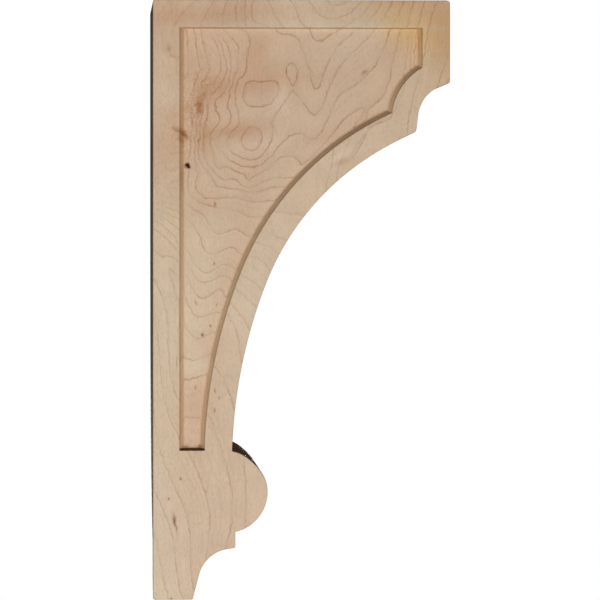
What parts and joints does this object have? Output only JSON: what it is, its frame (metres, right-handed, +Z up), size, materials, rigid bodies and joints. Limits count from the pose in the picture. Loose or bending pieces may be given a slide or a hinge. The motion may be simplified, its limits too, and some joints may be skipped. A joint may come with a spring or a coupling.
{
  "type": "wooden corbel bracket",
  "caption": "Wooden corbel with a flat back and top, a concave front between a cove-cut nose and a round bead, and a sunken panel in each side; it carries a shelf or mantel.",
  "frame": {"origin": "middle of the flat back, at half the height and half the width, on the wall's plane", "axes": "+X leaves the wall towards the nose, +Y runs across the width, +Z is up towards the flat top"},
  "size_m": [0.1764, 0.0888, 0.3556],
  "materials": {
    "maple": "sanded, unfinished"
  },
  "bodies": {
    "root": {"corbel": "maple"}
  },
  "joints": []
}
